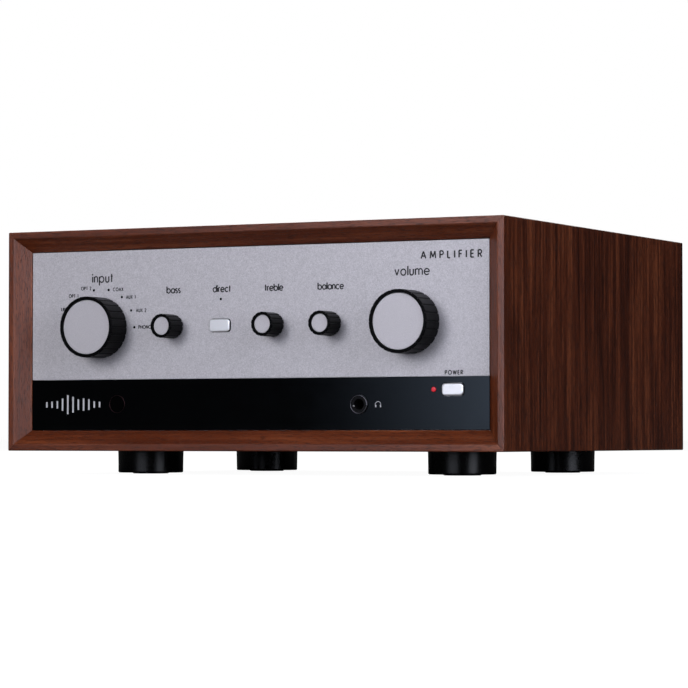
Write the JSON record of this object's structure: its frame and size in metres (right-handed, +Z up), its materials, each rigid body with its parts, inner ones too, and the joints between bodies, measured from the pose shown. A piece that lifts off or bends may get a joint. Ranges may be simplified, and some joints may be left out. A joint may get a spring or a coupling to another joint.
{
  "type": "integrated amplifier",
  "caption": "Desktop stereo amplifier: walnut sleeve on round feet, satin fascia over a gloss black band, fluted knobs, push buttons, headphone socket and rear sockets.",
  "frame": {"origin": "on the ground under the middle of the overall width and depth, at the underside of the foot pads", "axes": "+X to the right as seen from the front, +Y towards the back, +Z up; the knobs face -Y"},
  "size_m": [0.326, 0.3054, 0.145],
  "materials": {
    "walnut": "oiled straight-grained walnut veneer, darker sides, lighter edges",
    "foot_plastic": "glossy black moulding",
    "pad_rubber": "soft black non-slip rubber",
    "zinc_steel": "zinc-plated steel",
    "fascia_aluminium": "fine bead-blasted satin anodised aluminium",
    "band_acrylic": "polished black acrylic",
    "chassis_steel": "galvanised steel sheet",
    "black_steel": "fine-textured black powder coat",
    "black_screw": "black-plated steel screws",
    "component_grey": "pressed steel control housings",
    "black_component": "moulded black thermoplastic",
    "circuit_board": "green solder-masked glass-epoxy board",
    "dark_guide": "smoked light guides, dark when unlit",
    "red_lamp": "red lamp lens, lit while the set is on",
    "remote_lens": "very dark red infrared window",
    "dark_chrome": "plated ring nut",
    "transformer_wrap": "polyester-taped copper winding",
    "sink_aluminium": "black anodised extrusion",
    "capacitor_sleeve": "shrink-sleeved electrolytic cans",
    "socket_plating": "nickel-plated signal sockets",
    "gold_plating": "gold-plated brass",
    "bright_nickel": "nickel-plated metal",
    "rocker_plastic": "glossy black rocker",
    "button_metal": "satin-bright plated caps",
    "knob_black": "black fluted skirt, satin gloss",
    "disc_aluminium": "satin turned aluminium disc",
    "cap_black": "clear-coated black terminal cap",
    "cap_red": "red terminal cap"
  },
  "bodies": {
    "chassis": {"cabinet_top": "walnut", "cabinet_bottom": "walnut", "cabinet_left_side": "walnut", "cabinet_right_side": "walnut", "feet": "foot_plastic", "foot_pads": "pad_rubber", "foot_screws": "zinc_steel", "fascia_plate": "fascia_aluminium", "lower_band": "band_acrylic", "front_bracket": "chassis_steel", "chassis_tray": "chassis_steel", "rear_panel": "black_steel", "standoffs": "zinc_steel", "m3_screws": "black_screw", "panel_nuts": "zinc_steel", "input_encoder": "component_grey", "volume_potentiometer": "component_grey", "tone_potentiometers": "component_grey", "button_switches": "black_component", "control_board": "circuit_board", "main_board": "circuit_board", "light_guides": "dark_guide", "power_lamp": "red_lamp", "remote_window": "remote_lens", "headphone_socket": "black_component", "headphone_nut": "dark_chrome", "transformer": "transformer_wrap", "transformer_clamp": "zinc_steel", "heatsink": "sink_aluminium", "power_transistors": "black_component", "reservoir_capacitors": "capacitor_sleeve", "phono_sockets": "socket_plating", "digital_sockets": "black_component", "terminal_posts": "gold_plating", "mains_inlet": "black_component", "mains_blades": "bright_nickel", "rocker_housing": "black_component"},
    "input_control": {"input_knob": "knob_black", "input_knob_disc": "disc_aluminium", "input_shaft": "bright_nickel"},
    "volume_control": {"volume_knob": "knob_black", "volume_knob_disc": "disc_aluminium", "volume_shaft": "bright_nickel"},
    "bass_control": {"bass_knob": "knob_black", "bass_knob_disc": "disc_aluminium", "bass_shaft": "bright_nickel"},
    "treble_control": {"treble_knob": "knob_black", "treble_knob_disc": "disc_aluminium", "treble_shaft": "bright_nickel"},
    "balance_control": {"balance_knob": "knob_black", "balance_knob_disc": "disc_aluminium", "balance_shaft": "bright_nickel"},
    "direct_press": {"direct_button": "button_metal"},
    "power_press": {"power_button": "button_metal"},
    "mains_rocker": {"mains_rocker": "rocker_plastic"},
    "right_negative_terminal": {"right_negative_cap": "cap_black"},
    "right_positive_terminal": {"right_positive_cap": "cap_red"},
    "left_negative_terminal": {"left_negative_cap": "cap_black"},
    "left_positive_terminal": {"left_positive_cap": "cap_red"},
    "ground_terminal": {"ground_screw": "bright_nickel"}
  },
  "joints": [
    {"name": "input_turn", "type": "hinge", "parent": "chassis", "child": "input_control", "pos_m": [-0.1025, -0.1353, 0.087], "axis": [0, 1, 0], "continuous": true},
    {"name": "volume_turn", "type": "hinge", "parent": "chassis", "child": "volume_control", "pos_m": [0.102, -0.1353, 0.087], "axis": [0, 1, 0], "range_deg": [-150, 150]},
    {"name": "bass_turn", "type": "hinge", "parent": "chassis", "child": "bass_control", "pos_m": [-0.053, -0.1353, 0.087], "axis": [0, 1, 0], "range_deg": [-150, 150]},
    {"name": "treble_turn", "type": "hinge", "parent": "chassis", "child": "treble_control", "pos_m": [0.014, -0.1353, 0.087], "axis": [0, 1, 0], "range_deg": [-150, 150]},
    {"name": "balance_turn", "type": "hinge", "parent": "chassis", "child": "balance_control", "pos_m": [0.051, -0.1353, 0.087], "axis": [0, 1, 0], "range_deg": [-150, 150]},
    {"name": "direct_travel", "type": "slide", "parent": "chassis", "child": "direct_press", "axis": [0, 1, 0], "range_m": [0, 0.001]},
    {"name": "power_travel", "type": "slide", "parent": "chassis", "child": "power_press", "axis": [0, 1, 0], "range_m": [0, 0.001]},
    {"name": "rocker_tilt", "type": "hinge", "parent": "chassis", "child": "mains_rocker", "pos_m": [-0.118, 0.1257, 0.1], "axis": [1, 0, 0], "range_deg": [-18, 0]},
    {"name": "right_negative_turn", "type": "hinge", "parent": "chassis", "child": "right_negative_terminal", "pos_m": [-0.076, 0.1327, 0.056], "axis": [0, 1, 0], "range_deg": [0, 360]},
    {"name": "right_positive_turn", "type": "hinge", "parent": "chassis", "child": "right_positive_terminal", "pos_m": [-0.057, 0.1327, 0.056], "axis": [0, 1, 0], "range_deg": [0, 360]},
    {"name": "left_negative_turn", "type": "hinge", "parent": "chassis", "child": "left_negative_terminal", "pos_m": [-0.028, 0.1327, 0.056], "axis": [0, 1, 0], "range_deg": [0, 360]},
    {"name": "left_positive_turn", "type": "hinge", "parent": "chassis", "child": "left_positive_terminal", "pos_m": [-0.009, 0.1327, 0.056], "axis": [0, 1, 0], "range_deg": [0, 360]},
    {"name": "ground_turn", "type": "hinge", "parent": "chassis", "child": "ground_terminal", "pos_m": [0.016, 0.1287, 0.084], "axis": [0, 1, 0], "range_deg": [0, 360]}
  ]
}
